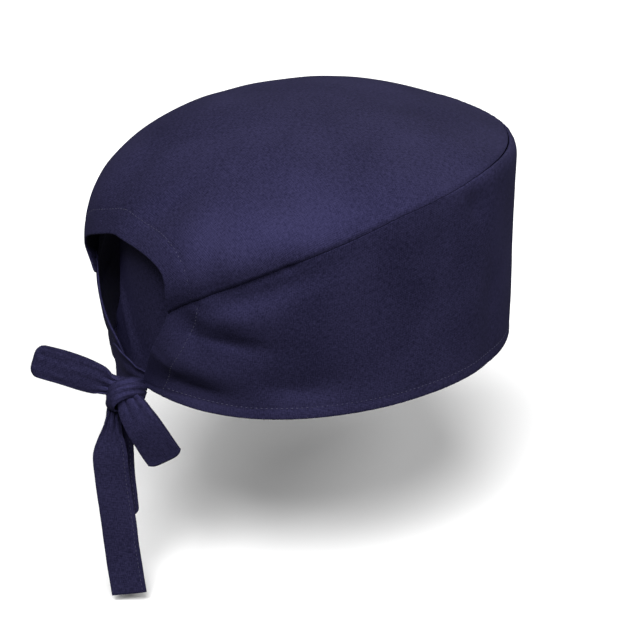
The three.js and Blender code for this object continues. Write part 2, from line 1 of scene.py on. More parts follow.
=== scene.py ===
# %% [markdown]
# # A navy scrub cap, tied at the back
#
# A surgical cap is sewn from a few flat pieces of thin woven cloth: a deep side band, a
# crown panel gathered onto it, and two straps that are tied in a bow behind the head.
# Nothing in it is stiff, so its look comes from soft folds, hems, stitches and a fine weave.
#
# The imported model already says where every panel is. This script lays a finer cloth over
# the same form: each panel starts as a flat grid, as a tailor starts from a flat cut, and
# every point of the grid is then moved onto the worn shape.

import functools
import math

import bmesh
import bpy
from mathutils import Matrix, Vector, kdtree, noise


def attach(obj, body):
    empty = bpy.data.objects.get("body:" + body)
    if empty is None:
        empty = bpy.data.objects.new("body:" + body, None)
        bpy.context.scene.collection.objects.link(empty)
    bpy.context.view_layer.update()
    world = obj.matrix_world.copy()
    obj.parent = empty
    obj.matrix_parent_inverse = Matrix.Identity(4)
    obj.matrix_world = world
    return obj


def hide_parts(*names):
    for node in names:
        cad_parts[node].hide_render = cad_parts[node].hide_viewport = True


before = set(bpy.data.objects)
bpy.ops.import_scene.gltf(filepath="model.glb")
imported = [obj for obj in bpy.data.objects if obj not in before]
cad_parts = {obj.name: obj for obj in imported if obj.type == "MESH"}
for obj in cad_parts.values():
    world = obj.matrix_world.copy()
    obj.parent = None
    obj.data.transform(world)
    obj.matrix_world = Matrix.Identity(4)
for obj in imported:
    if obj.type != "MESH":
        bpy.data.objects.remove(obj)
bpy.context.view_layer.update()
MM = 0.001
DEG = math.pi / 180

# %% [markdown]
# ## Sizes and tables
#
# All lengths are in millimetres until the last moment, because sewing is measured in
# millimetres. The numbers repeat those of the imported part, so both describe one cap. The
# short tables hold shares of the named sizes: the seam, the back opening and the folds.

# %% Sizes of the cap
RIM_LENGTH, RIM_WIDTH, RIM_SQUARENESS = 206, 169.5, 2.08
BAND_HEIGHT, CAP_HEIGHT, PEAK_BACK, SEAM_ROLL = 104, 126, 19, 8
OPENING_HEIGHT, OPENING_RIGHT, OPENING_LEFT = 80.5, 40, 30
CROWN_RISE, CROWN_FLAT = 0.51, 0.52
RIM_RADIUS = (RIM_LENGTH + RIM_WIDTH) / 4
CLOTH = 0.42
FOLD_RADIUS = 0.6
HEM_WIDTH = 12
RIM_HEM_WIDTH = 6
ALLOWANCE = 8
SEAM = [
    # at, high, out, slope, lift
    (0, 0.99, 0.955, 23, 0),
    (30, 0.995, 0.955, 31, 0),
    (55, 1.002, 0.965, 43, 0),
    (75, 0.978, 0.987, 57, 0),
    (90, 0.951, 1.02, 69, 0),
    (110, 0.858, 1.055, 90, 0),
    (130, 0.729, 1.08, 108, 0.001),
    (150, 0.575, 1.09, 117, 0.006),
    (165, 0.43, 1.085, 121, 0.02),
    (180, 0.37, 1.075, 123, 0.034),
]
OPENING = [
    # up, right, left
    (0, 0.15, 0.28),
    (0.098, 0.23, 0.27),
    (0.196, 0.37, 0.31),
    (0.343, 0.58, 0.56),
    (0.49, 0.775, 0.83),
    (0.609, 0.89, 1.04),
    (0.727, 0.975, 1.15),
    (0.832, 1, 1.04),
    (0.882, 0.98, 0.86),
    (0.932, 0.9, 0.57),
    (0.963, 0.77, 0.35),
    (0.984, 0.6, 0.19),
    (0.994, 0.4, 0.08),
    (1, 0, 0),
]


# %% A smooth curve through one column of a table
def column(rows, index, level_ends=False):
    """Never overshoots its rows, so a seam drawn with it has no wobble."""
    x = [row[0] for row in rows]
    y = [row[index] for row in rows]
    step = [b - a for a, b in zip(x, x[1:])]
    rise = [(y[i + 1] - y[i]) / step[i] for i in range(len(step))]
    slope = [rise[0]]
    for i in range(1, len(x) - 1):
        if rise[i - 1] * rise[i] <= 0:
            slope.append(0)
            continue
        a, b = 2 * step[i] + step[i - 1], step[i] + 2 * step[i - 1]
        slope.append((a + b) / (a / rise[i - 1] + b / rise[i]))
    slope.append(rise[-1])
    if level_ends:
        slope[0] = slope[-1] = 0

    def value(q):
        q = min(max(q, x[0]), x[-1])
        i = 0
        while i < len(x) - 2 and q > x[i + 1]:
            i += 1
        t = (q - x[i]) / step[i]
        a, b = (1 + 2 * t) * (1 - t) ** 2, t * (1 - t) ** 2
        c, d = t * t * (3 - 2 * t), t * t * (t - 1)
        return a * y[i] + b * step[i] * slope[i] + c * y[i + 1] + d * step[i] * slope[i + 1]

    return value


def ease(value, low=0.0, high=1.0):
    t = min(max((value - low) / (high - low), 0), 1)
    return t * t * (3 - 2 * t)


seam_high, seam_out, seam_slope, rim_lift = (column(SEAM, i, level_ends=True) for i in (1, 2, 3, 4))
open_right, open_left = column(OPENING, 1), column(OPENING, 2)
print("seam height at the front and back, mm:", seam_high(0) * BAND_HEIGHT, seam_high(180) * BAND_HEIGHT)

# %% [markdown]
# ## The worn form
#
# Two formulas give the form of the head-filled cap. `turn` walks round it, 0 at the front
# and a half turn at the back, and `share` climbs from one edge of a panel to the other.
# The band leans out towards the back; the crown follows a smooth arc to its peak.


# %% Band and crown as formulas
@functools.lru_cache(maxsize=None)
def rim_point(turn):
    s, c, power = math.sin(turn), math.cos(turn), 2 / RIM_SQUARENESS
    x = -math.copysign(abs(s) ** power, s) * RIM_WIDTH / 2
    y = -math.copysign(abs(c) ** power, c) * RIM_LENGTH / 2
    return Vector((x, y, 0))


@functools.lru_cache(maxsize=None)
def seam_at(turn):
    at = abs(turn) / DEG
    return seam_high(at) * BAND_HEIGHT, seam_out(at), rim_lift(at) * BAND_HEIGHT


def band_point(turn, share):
    top, out, lift = seam_at(turn)
    widest, level = max(out, 1), share * top
    roll = min(max((level - top + SEAM_ROLL) / SEAM_ROLL, 0), 1)
    scale = 1 + (widest - 1) * ease(share) + (out - widest) * (1 - math.sqrt(1 - roll * roll))
    rim = rim_point(turn)
    return Vector((rim.x * scale, rim.y * scale, level + lift * max(1 - share, 0) ** 1.5))


@functools.lru_cache(maxsize=None)
def crown_arc(turn):
    """The four control points, as distance from the peak's axis and height, and their direction."""
    seam = band_point(turn, 1)
    away = Vector((seam.x, seam.y - PEAK_BACK))
    radius, rise = away.length, CAP_HEIGHT - seam.z
    slope = seam_slope(abs(turn) / DEG) * DEG
    length = CROWN_RISE * rise / math.sin(slope)
    first, second = radius - length * math.cos(slope), CROWN_FLAT * radius
    return away / radius, (radius, first, second), (seam.z, seam.z + length * math.sin(slope))


def crown_point(turn, share):
    away, radii, heights = crown_arc(turn)
    t = share
    a, b, c = (1 - t) ** 3, 3 * (1 - t) ** 2 * t, 3 * (1 - t) * t * t
    r = a * radii[0] + b * radii[1] + c * radii[2]
    z = a * heights[0] + b * heights[1] + (c + t**3) * CAP_HEIGHT
    return Vector((away.x * r, PEAK_BACK + away.y * r, z))


def directions(surface, turn, share):
    """The point, the two directions along the surface and the outward normal."""
    e = 0.002
    low, high = max(share - e, 0), min(share + e, 1)
    around = (surface(turn + e, share) - surface(turn - e, share)) / (2 * e)
    up = (surface(turn, high) - surface(turn, low)) / (high - low)
    out = up.cross(around)
    if out.length < 1e-3:
        out = Vector((0, 0, 1))
    return surface(turn, share), around, up, out.normalized()


@functools.lru_cache(maxsize=None)
def mitre(turn):
    """Both panels meet on this direction, halfway between their own normals."""
    band = directions(band_point, turn, 0.97)[3]
    crown = directions(crown_point, turn, 0.02)[3]
    return (band + crown).normalized()


print("peak of the crown, mm:", [round(x, 1) for x in crown_point(0, 1)])

# %% [markdown]
# ## Folds and dents
#
# Cloth on a head is never smooth. A fold is a long soft hollow or ridge, so each row of
# the tables gives a place, a length, a width, a turn and a depth. Finer things follow
# rules instead: cloth waves a little everywhere, and it puckers beside a line of stitches.

# %% Tables of folds
FOLDS = [
    # at (degrees from the front), up, run, wide (over BAND_HEIGHT), turn, deep
    (133, 0.635, 0.3, 0.07, -22, -0.026),
    (151, 0.45, 0.13, 0.075, 80, -0.02),
    (140, 0.4, 0.2, 0.07, 12, -0.022),
    (141, 0.53, 0.16, 0.075, 10, 0.014),
    (153, 0.09, 0.22, 0.075, 4, -0.024),
    (150, 0.24, 0.24, 0.08, 12, 0.02),
    (120, 0.15, 0.24, 0.09, 6, -0.016),
    (66, 0.86, 0.12, 0.07, 60, -0.02),
    (57, 0.3, 0.26, 0.09, 86, -0.014),
    (143, 0.72, 0.22, 0.07, 88, -0.01),
    (-138, 0.6, 0.28, 0.07, 20, -0.024),
    (-150, 0.2, 0.22, 0.08, -10, 0.018),
    (-125, 0.25, 0.24, 0.08, -8, -0.016),
    (-62, 0.5, 0.3, 0.09, 80, -0.012),
    (-153, 0.07, 0.2, 0.12, 0, 0.026),
]
CROWN_DENTS = [
    # at, out (share of the way to the peak), run, wide (over CAP_HEIGHT), turn, deep
    (168, 0.42, 0.22, 0.07, 62, -0.018),
    (-165, 0.5, 0.2, 0.07, 110, -0.008),
    (120, 0.35, 0.3, 0.09, 12, -0.012),
    (-95, 0.4, 0.26, 0.09, -14, -0.005),
    (30, 0.5, 0.26, 0.1, 20, -0.01),
]
CREASES = [
    # at, level, run, wide, turn, deep, all lengths in millimetres
    (123, 80, 3.5, 1.6, 60, -0.9),
    (128, 76, 16, 2.6, -24, -0.7),
    (147, 57.5, 7, 3, 40, -0.5),
    (150, 44, 9, 2.2, 84, -0.6),
    (143, 40, 13, 2.2, 10, -0.7),
    (135, 44.5, 12, 3, 8, 0.45),
    (159, 14, 7, 2.4, -30, -0.5),
    (152, 12, 12, 2.2, 2, -0.55),
    (160, 24, 9, 2.6, 28, 0.4),
    (163, 33, 10, 2, 52, -0.35),
    (123, 15, 13, 3, 8, -0.4),
    (81, 98, 6, 2, 60, -0.45),
    (74, 99, 6, 1.8, 66, -0.4),
    (67, 100, 5, 1.8, 62, -0.35),
    (68, 88, 9, 2.6, 58, -0.5),
    (57, 34, 16, 3.4, 86, -0.4),
    (143, 74, 11, 1.3, 88, -0.45),
    (-128, 60, 14, 2.4, 20, -0.6),
    (-145, 38, 10, 2.2, 12, -0.5),
    (-158, 15, 9, 2.4, -4, -0.5),
    (-70, 98, 6, 1.8, -60, -0.4),
    (-80, 97, 6, 1.8, -56, -0.35),
]


# %% How deep the cloth lies at a point
FOLD_ROWS = []
for at, *sizes in [(a, u * BAND_HEIGHT, r * BAND_HEIGHT, w * BAND_HEIGHT, t, d * BAND_HEIGHT) for a, u, r, w, t, d in FOLDS] + CREASES:
    up, run, wide, lean, deep = sizes
    c, s = math.cos(lean * DEG), math.sin(lean * DEG)
    FOLD_ROWS.append((at * DEG, up, c / run, s / run, c / wide, s / wide, deep, 2.6 * max(run, wide)))


def fold_depth(turn, level):
    depth = 0
    for at, up, along_u, along_v, across_v, across_u, deep, reach in FOLD_ROWS:
        v = level - up
        if abs(v) > reach:
            continue
        u = ((turn - at + math.pi) % (2 * math.pi) - math.pi) * RIM_RADIUS
        if abs(u) > reach:
            continue
        along, across = along_u * u + along_v * v, across_v * v - across_u * u
        depth += deep * math.exp(-along * along - across * across)
    return depth


def dent_depth(point):
    depth = 0
    for at, out, run, wide, lean, deep in CROWN_DENTS:
        away = point - crown_point(at * DEG, out)
        c, s = math.cos(lean * DEG), math.sin(lean * DEG)
        along = (c * away.x + s * away.y) / (run * CAP_HEIGHT)
        across = (c * away.y - s * away.x) / (wide * CAP_HEIGHT)
        depth += deep * CAP_HEIGHT * math.exp(-along * along - across * across)
    return depth


def soft_waves(point):
    """The slight waves of a washed cloth, long ones and shorter ones."""
    return 0.5 * noise.noise(point / 36) + 0.2 * noise.noise(point / 13 + Vector((7, 3, 5)))


# %% [markdown]
# ## The edge of the back opening
#
# The opening is an arch that narrows to the tie. Its outline is found on the form itself:
# at each height the edge lies where the form is as far from the middle as the table says.


# %% Outline of the opening
def edge_turn(surface, share, half, size):
    low, high = math.pi / 2, math.pi
    for _ in range(30):
        middle = (low + high) / 2
        point = surface(middle, share)
        up = (point.z - FOLD_RADIUS) / OPENING_HEIGHT
        wide = half(up) * size + FOLD_RADIUS if up < 1 else 0
        if abs(point.x) > wide:
            low = middle
        else:
            high = middle
    return (low + high) / 2


def arch_share():
    low, high = 0.0, 1.0
    for _ in range(30):
        middle = (low + high) / 2
        if crown_point(math.pi, middle).z < OPENING_HEIGHT + FOLD_RADIUS:
            low = middle
        else:
            high = middle
    return low


def even_steps(rows, place, count):
    """Picks count + 1 rows at even distances along the line that they draw."""
    points = [place(row) for row in rows]
    run = [0.0]
    for a, b in zip(points, points[1:]):
        run.append(run[-1] + (b - a).length)
    picked, i = [], 0
    for k in range(count + 1):
        want = run[-1] * k / count
        while i < len(run) - 2 and run[i + 1] < want:
            i += 1
        part = (want - run[i]) / max(run[i + 1] - run[i], 1e-9)
        picked.append(tuple(p + (q - p) * part for p, q in zip(rows[i], rows[i + 1])))
    return picked


ARCH = arch_share()
SEAM_START = 0.0068


def crown_edge(half, size, side, count):
    """(turn, share) from the middle of the arch down to the seam."""
    rows = [(math.pi, ARCH)]
    for k in range(1, 161):
        share = SEAM_START + (ARCH - SEAM_START) * (1 - (k / 160) ** 3)
        rows.append((edge_turn(crown_point, share, half, size), share))
    picked = even_steps(rows, lambda row: crown_point(*row), count)
    return [(side * turn, share) for turn, share in picked]


crown_right = crown_edge(open_right, OPENING_RIGHT, 1, 58)
crown_left = crown_edge(open_left, OPENING_LEFT, -1, 48)
outline = kdtree.KDTree(1200)
outline_count = 0
for side, half, size in ((1, open_right, OPENING_RIGHT), (-1, open_left, OPENING_LEFT)):
    line = [(side * edge_turn(band_point, k / 60, half, size), k / 60) for k in range(61)]
    line = even_steps(line, lambda row: band_point(*row), 140)
    points = [band_point(*row) for row in line]
    line = crown_edge(half, size, side, 160)
    points += [crown_point(*row) for row in reversed(line)]
    for index, point in enumerate(points):
        outline.insert(point, index)
        outline_count += 1
outline.balance()
print("points on the opening's outline:", outline_count, " arch at share", round(ARCH, 3))


# %% All relief together, and the skin of a panel
def relief(surface, turn, share, point, seam_near):
    depth = fold_depth(turn, point.z)
    if surface is crown_point:
        depth += ease(share, 0, 0.25) * dent_depth(point)
        depth += 0.32 * math.exp(-(((seam_near - 2.2) / 1.7) ** 2))
    else:
        depth -= 0.2 * math.exp(-((seam_near / 3) ** 2))
        depth -= 0.28 * math.exp(-(((point.z - 5.4) / 0.9) ** 2))
    depth += soft_waves(point)
    pucker = noise.noise(Vector((turn * RIM_RADIUS / 3.6, 0, 2.0)))
    depth += 0.3 * pucker * math.exp(-((seam_near / 6) ** 2))
    if surface is band_point:
        depth += 0.18 * noise.noise(Vector((turn * RIM_RADIUS / 2.8, 4.0, 1.0))) * math.exp(-((point.z / 7) ** 2))
    if abs(turn) > 2.2:
        _, index, near = outline.find(point)
        depth -= 0.3 * math.exp(-(((near - HEM_WIDTH) / 0.9) ** 2))
        wave = noise.noise(Vector((index * 0.1, 3.0, 0.0)))
        depth += 0.26 * wave * math.exp(-(((near - HEM_WIDTH) / 3.4) ** 2))
    return depth


def skin(surface, turn, share, depth=0.0):
    """The cloth's outer face, with all its folds, or a place that far under it."""
    point, around, up, out = directions(surface, turn, share)
    if surface is band_point:
        seam_near = (1 - share) * seam_high(abs(turn) / DEG) * BAND_HEIGHT
    else:
        seam_near = (point - band_point(turn, 1)).length
    if seam_near < 12:
        out = out.lerp(mitre(turn), 1 - ease(seam_near, 0, 12)).normalized()
    return point + out * (relief(surface, turn, share, point, seam_near) - depth)


print("sample of the skin, mm:", [round(x, 2) for x in skin(band_point, 2.4, 0.5)])

# %% [markdown]
# ## Hems: the cloth turns in
#
# Every raw edge of a garment is turned in and stitched down, or it would fray. A plain
# extrusion of the edge can make this: a few steps round a small half circle, then a strip
# that runs back inside the panel. It gives the soft rounded edge that a cut edge lacks.


# %% Turning an edge in
@functools.lru_cache(maxsize=None)
def most_turn(surface, share, side):
    half, size = (open_right, OPENING_RIGHT) if side > 0 else (open_left, OPENING_LEFT)
    return edge_turn(surface, share, half, size)


def keep_inside(surface, turn, share):
    """A strip that runs back inside a panel must not stick out past another edge."""
    share = max(share, SEAM_START) if surface is crown_point else min(max(share, 0.008), 0.993)
    if abs(turn) > 2.5 and (surface is band_point or share < 0.98 * ARCH):
        side = 1 if turn > 0 else -1
        most = most_turn(surface, round(share, 3), side) - 0.4 / RIM_RADIUS
        turn = side * min(abs(turn), most)
    return turn, share


def turn_in(bm, edges, surface, width, steps=4):
    turn_of, share_of = bm.verts.layers.float["turn"], bm.verts.layers.float["share"]
    base_of = bm.verts.layers.int["base"]
    chain = {v for e in edges for v in e.verts}
    rules = []
    for v in chain:
        ends = [e.other_vert(v) for e in v.link_edges if e in edges]
        inner = [e.other_vert(v) for e in v.link_edges if e.other_vert(v) not in chain]
        tangent = (ends[-1].co - (ends[0].co if len(ends) > 1 else v.co)).normalized()
        inward = sum((w.co - v.co for w in inner), Vector()) / max(len(inner), 1)
        turn, share = v[turn_of], v[share_of]
        _, around, up, out = directions(surface, turn, share)
        inward -= tangent * inward.dot(tangent)
        inward -= out * inward.dot(out)
        inward.normalize()
        a, b, c = around.dot(around), around.dot(up), up.dot(up)
        p, q = around.dot(inward), up.dot(inward)
        det = a * c - b * b
        v[base_of] = len(rules)
        rules.append((turn, share, (p * c - q * b) / det, (q * a - p * b) / det))
    path = [(FOLD_RADIUS * (-math.sin(t * DEG)), FOLD_RADIUS * (1 - math.cos(t * DEG))) for t in (35, 70, 105, 140, 180)]
    path += [(width * k / steps, 2 * FOLD_RADIUS) for k in range(1, steps + 1)]
    for away, depth in path:
        made = bmesh.ops.extrude_edge_only(bm, edges=list(edges))["geom"]
        fresh = {v for v in made if isinstance(v, bmesh.types.BMVert)}
        edges = {e for v in fresh for e in v.link_edges if e.other_vert(v) in fresh}
        for v in fresh:
            turn, share, by_turn, by_share = rules[v[base_of]]
            v[turn_of], v[share_of] = turn + by_turn * away, share + by_share * away
            if away > 0:
                v[turn_of], v[share_of] = keep_inside(surface, v[turn_of], v[share_of])
            v.co = skin(surface, v[turn_of], v[share_of], depth)
    return len(rules)


# %% [markdown]
# ## Two helpers for every piece
#
# `finish_piece` makes a mesh object of a bmesh, with its place in the mesh itself and the
# object at the origin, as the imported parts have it. The cloth is modelled as a skin and a
# Solidify modifier gives it its thickness, because a thin wall is easier to shape as a skin.


# %% Finishing a piece
def finish_piece(bm, name, nodes, thick=None, offset=-1.0, bevel=None):
    for v in bm.verts:
        v.co *= MM
    mesh = bpy.data.meshes.new(name)
    for face in bm.faces:
        face.smooth = True
    bm.to_mesh(mesh)
    bm.free()
    piece = bpy.data.objects.new(name, mesh)
    bpy.context.scene.collection.objects.link(piece)
    if thick:
        wall = piece.modifiers.new("cloth thickness", "SOLIDIFY")
        wall.thickness, wall.offset = thick * MM, offset
        wall.use_rim = True
    if bevel:
        edge = piece.modifiers.new("soft edge", "BEVEL")
        edge.width, edge.segments, edge.limit_method = bevel * MM, 2, "ANGLE"
        edge.angle_limit = 50 * DEG
    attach(piece, "root")
    if nodes:
        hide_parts(*nodes)
    print(name, "faces before thickness:", len(mesh.polygons))
    return piece


def lay_uv(bm, place):
    """UV in metres of flat cloth, so a weave drawn on it has its real size."""
    layer = bm.loops.layers.uv.verify()
    for face in bm.faces:
        for loop in face.loops:
            u, v = place(loop.vert)
            loop[layer].uv = (u * MM, v * MM)


def face_outwards(bm, middle):
    """An open sheet has no inside, so its faces are turned away from a point in the cap."""
    bmesh.ops.recalc_face_normals(bm, faces=bm.faces)
    face = max(bm.faces, key=lambda f: f.calc_area())
    votes = sum((f.calc_center_median() - middle).dot(f.normal) * f.calc_area() for f in bm.faces)
    if votes < 0:
        bmesh.ops.reverse_faces(bm, faces=bm.faces)
    return face


# %% [markdown]
# ## The side band
#
# A long strip, cut straight and sewn to the crown along its top edge. A grid is the
# natural start: its columns run up the band and its rows run round the head. The two short
# sides follow the opening's edge, and all four edges are turned in.

# %% The side band
BAND_COLUMNS, BAND_ROWS = 372, 70


def make_band():
    bm = bmesh.new()
    bmesh.ops.create_grid(bm, x_segments=BAND_COLUMNS, y_segments=BAND_ROWS, size=0.5)
    turn_of = bm.verts.layers.float.new("turn")
    share_of = bm.verts.layers.float.new("share")
    bm.verts.layers.int.new("base")
    start = FOLD_RADIUS / BAND_HEIGHT
    edges = {}
    low, high, left, right = [], [], [], []
    for v in bm.verts:
        u, w = v.co.x + 0.5, v.co.y + 0.5
        row = round(w * BAND_ROWS)
        share = start + (1 - 2 * start) * (1 - (1 - w) ** 1.15)
        if row not in edges:
            edges[row] = (
                edge_turn(band_point, share, open_right, OPENING_RIGHT),
                edge_turn(band_point, share, open_left, OPENING_LEFT),
            )
        turn = edges[row][0] * (1 - 2 * u) if u < 0.5 else -edges[row][1] * (2 * u - 1)
        v[turn_of], v[share_of] = turn, share
        column_index = round(u * BAND_COLUMNS)
        for group, inside in ((low, row == 0), (high, row == BAND_ROWS), (right, column_index == 0), (left, column_index == BAND_COLUMNS)):
            if inside:
                group.append(v)
    for v in bm.verts:
        v.co = skin(band_point, v[turn_of], v[share_of])
    chains = []
    for group in (low, high, right, left):
        members = set(group)
        chains.append({e for v in group for e in v.link_edges if e.other_vert(v) in members})
    for chain, width in zip(chains, (RIM_HEM_WIDTH, ALLOWANCE, HEM_WIDTH, HEM_WIDTH)):
        turn_in(bm, chain, band_point, width)
    lay_uv(bm, lambda v: (v[turn_of] * RIM_RADIUS, v[share_of] * BAND_HEIGHT))
    face_outwards(bm, Vector((0, 10, 50)))
    area = sum(f.calc_area() for f in bm.faces)
    print("side band, flat area cm2:", round(area / 100, 1))
    return finish_piece(bm, "band_cloth", ["side_band"], CLOTH)


band = make_band()

# %% [markdown]
# ## The crown panel
#
# The crown is one oval of cloth. Its grid is rolled into rings: the outer ring follows the
# seam and the arch of the opening, and the rings shrink to the peak, where the doubled
# points are merged. The columns fan out beside the opening, so that no face is a sliver.

# %% The crown panel
SEAM_COLUMNS, CROWN_ROWS = 300, 68


def crown_boundary():
    """(turn, share, turn further in) for every column, once round the panel."""
    rows = []
    count = len(crown_right) - 1
    for i, (turn, share) in enumerate(crown_right):
        rows.append((turn, share, (180 - 40 * i / count) * DEG))
    from_turn, to_turn = crown_right[-1][0], crown_left[-1][0]
    for i in range(1, SEAM_COLUMNS):
        turn = from_turn + (to_turn - from_turn) * i / SEAM_COLUMNS
        edge = from_turn if turn > 0 else -to_turn
        rows.append((turn, SEAM_START, turn / edge * 140 * DEG))
    count = len(crown_left) - 1
    for i, (turn, share) in enumerate(reversed(crown_left)):
        rows.append((turn, share, -(140 + 40 * i / count) * DEG))
    return rows


@functools.lru_cache(maxsize=None)
def runs_to_peak(step):
    """Lengths over the crown from the peak out to 33 shares, in one direction."""
    points = [crown_point(step * 5 * DEG, 1 - k / 32) for k in range(33)]
    runs = [0.0]
    for a, b in zip(points, points[1:]):
        runs.append(runs[-1] + (b - a).length)
    return runs


def crown_run(turn, share):
    at, out = turn / DEG / 5, (1 - min(max(share, 0), 1)) * 32
    i, j = math.floor(at), min(int(out), 31)
    ends = [runs_to_peak((i + k + 36) % 72 - 36) for k in (0, 1)]
    near, far = [runs[j] + (runs[j + 1] - runs[j]) * (out - j) for runs in ends]
    return near + (far - near) * (at - i)


def make_crown():
    boundary = crown_boundary()
    columns = len(boundary) - 1
    bm = bmesh.new()
    bmesh.ops.create_grid(bm, x_segments=columns, y_segments=CROWN_ROWS, size=0.5)
    turn_of = bm.verts.layers.float.new("turn")
    share_of = bm.verts.layers.float.new("share")
    bm.verts.layers.int.new("base")
    first = []
    for v in bm.verts:
        i = round((v.co.x + 0.5) * columns)
        w = (v.co.y + 0.5) ** 1.12
        turn, share, further = boundary[i]
        part = 1 - (1 - min(w / 0.45, 1)) ** 2
        v[turn_of] = turn + (further - turn) * part
        v[share_of] = share + (1 - share) * w
        if w < 1e-6:
            first.append((i, v))
    for v in bm.verts:
        v.co = skin(crown_point, v[turn_of], v[share_of])
    right_end, left_end = len(crown_right) - 1, columns - (len(crown_left) - 1)
    opening = {v for i, v in first if i <= right_end or i >= left_end}
    seam = {v for i, v in first if right_end <= i <= left_end}
    bmesh.ops.remove_doubles(bm, verts=[v for v in bm.verts if v.is_boundary and v not in seam], dist=1e-3)
    chains = []
    for members in ({v for v in opening if v.is_valid}, seam):
        chains.append({e for v in members for e in v.link_edges if e.other_vert(v) in members and e.is_boundary})
    turn_in(bm, chains[1], crown_point, ALLOWANCE)
    turn_in(bm, chains[0], crown_point, HEM_WIDTH)
    def flat(v):
        return crown_run(v[turn_of], v[share_of]) * crown_arc(v[turn_of])[0]

    lay_uv(bm, flat)
    face_outwards(bm, Vector((0, 10, 50)))
    area = sum(f.calc_area() for f in bm.faces)
    print("crown panel, flat area cm2:", round(area / 100, 1))
    return finish_piece(bm, "crown_cloth", ["crown_panel"], CLOTH)


crown = make_crown()

# %% [markdown]
# ## The inner flap
#
# Through the opening a plain panel of the same cloth shows, lying smooth against the back
# of the head. It is sewn in on the wearer's right and its left edge is free, with a hem.

# %% The inner flap
FLAP_INSET, FLAP_LOW, FLAP_HIGH = 3.8, 4, 80
FLAP_RIGHT_TURN, FLAP_LEFT_TURN, FLAP_SEWN_TURN = 32, 22, 9


def flap_point(past, level):
    """past: degrees beyond the middle of the back, from the right to the left."""
    turn = (past + 180) * DEG if past <= 0 else (past - 180) * DEG
    at = abs(turn) / DEG
    rim = rim_point(turn)
    share = min(max(level / (seam_high(at) * BAND_HEIGHT), 0), 1)
    outer = band_point(turn, share)
    outer.z = 0
    most = outer.length + min(0, fold_depth(turn, level)) - 3.35
    free = min(rim.length - FLAP_INSET, most)
    sewn = ease(past + FLAP_RIGHT_TURN, 0, FLAP_SEWN_TURN)
    radius = most + (free - most) * sewn
    edge = 180 - most_turn(band_point, round(share, 2), -1) / DEG
    radius += max(fold_depth(turn, level), 0) * ease(past, 6, 16)
    radius += 2.4 * math.exp(-(((past - edge + 3.5) / 3.5) ** 2)) * (1 - ease(level, 34, 54))
    point = rim.normalized() * radius
    point.z = level
    return point


def make_flap():
    bm = bmesh.new()
    bmesh.ops.create_grid(bm, x_segments=48, y_segments=56, size=0.5)
    flat = {}
    for v in bm.verts:
        level = FLAP_LOW + (FLAP_HIGH - FLAP_LOW) * (v.co.y + 0.5)
        left = FLAP_LEFT_TURN + 9 * (1 - ease(level, 4, 34))
        past = -FLAP_RIGHT_TURN + (left + FLAP_RIGHT_TURN) * (v.co.x + 0.5)
        level -= 1.4 * (0.5 - v.co.y) * ease(past, 8, 24)
        v.co = flap_point(past, level)
        v.co += Vector((v.co.x, v.co.y, 0)).normalized() * 0.35 * noise.noise(v.co / 24)
        flat[v] = (past * DEG * RIM_RADIUS, level)
    lay_uv(bm, lambda v: flat[v])
    face_outwards(bm, Vector((0, 10, 50)))
    return finish_piece(bm, "flap_cloth", ["inner_flap"], 1.1, -0.5, 0.45)


flap = make_flap()

# %% [markdown]
# ## Straps
#
# The ties are long flat tubes of cloth, sewn down one side. A strap is a narrow grid whose
# rows are set along a smooth line through a few points, each as wide as its table says.
# Beside the knot the cloth is squeezed together, so it gathers there into small pleats.

# %% Sizes and tables of the bow
TIE_WIDTH, TIE_CLOTH, TIE_TURN = 17, 1.2, 58
KNOT_WIDTH, KNOT_HEIGHT, KNOT_DEPTH = 22, 17, 13
LOOP_LEFT_LENGTH, LOOP_RIGHT_LENGTH, LOOP_GAP = 44.5, 40, 2.4
TAIL_LONG_LENGTH, TAIL_SHORT_LENGTH = 114.5, 72
knot_middle = Vector((-5, RIM_LENGTH / 2 + 7, 2))
facing = (90 + TIE_TURN) * DEG
OUT = Vector((math.cos(facing), math.sin(facing), 0))
RIGHT, UP = Vector((0, 0, 1)).cross(OUT), Vector((0, 0, 1))
LOOP_LEFT = [
    # along, up (over the length), out, wide (over TIE_WIDTH), gap
    (0.04, 0.02, 0, 0.45, 0.55),
    (0.18, 0.055, 0.01, 0.6, 0.6),
    (0.3, 0.11, 0.02, 0.82, 1),
    (0.5, 0.19, 0.02, 0.9, 1.3),
    (0.72, 0.27, 0.01, 0.92, 1.25),
    (0.9, 0.325, 0, 0.92, 0.9),
    (0.965, 0.345, -0.01, 0.9, 0.45),
]
LOOP_RIGHT = [
    (0.025, -0.05, 0.306, 0.62, 0.55),
    (0.1, -0.212, 0.424, 0.86, 0.6),
    (0.21, -0.425, 0.447, 0.97, 0.9),
    (0.325, -0.65, 0.376, 1.0, 0.85),
    (0.425, -0.845, 0.306, 1.03, 0.55),
    (0.453, -0.897, 0.294, 1.03, 0.4),
]
TAIL_LONG = [
    (-0.035, -0.017, 0.0, 0.42),
    (-0.059, -0.114, 0.088, 0.36),
    (-0.065, -0.175, 0.129, 0.5),
    (-0.072, -0.24, 0.153, 0.8),
    (-0.077, -0.314, 0.159, 0.99),
    (-0.072, -0.437, 0.129, 1.0),
    (-0.062, -0.55, 0.094, 1.0),
    (-0.052, -0.664, 0.076, 1.01),
    (-0.043, -0.786, 0.071, 1.02),
    (-0.031, -0.9, 0.082, 1.03),
    (-0.02, -0.996, 0.1, 1.03),
]
TAIL_SHORT = [
    (0.0, -0.042, -0.247, 0.42),
    (-0.035, -0.194, -0.271, 0.6),
    (-0.078, -0.375, -0.294, 0.9),
    (-0.087, -0.5, -0.294, 0.97),
    (-0.082, -0.694, -0.259, 0.97),
    (-0.071, -0.861, -0.241, 0.97),
    (-0.065, -0.958, -0.235, 0.95),
    (-0.064, -0.993, -0.235, 0.8),
]


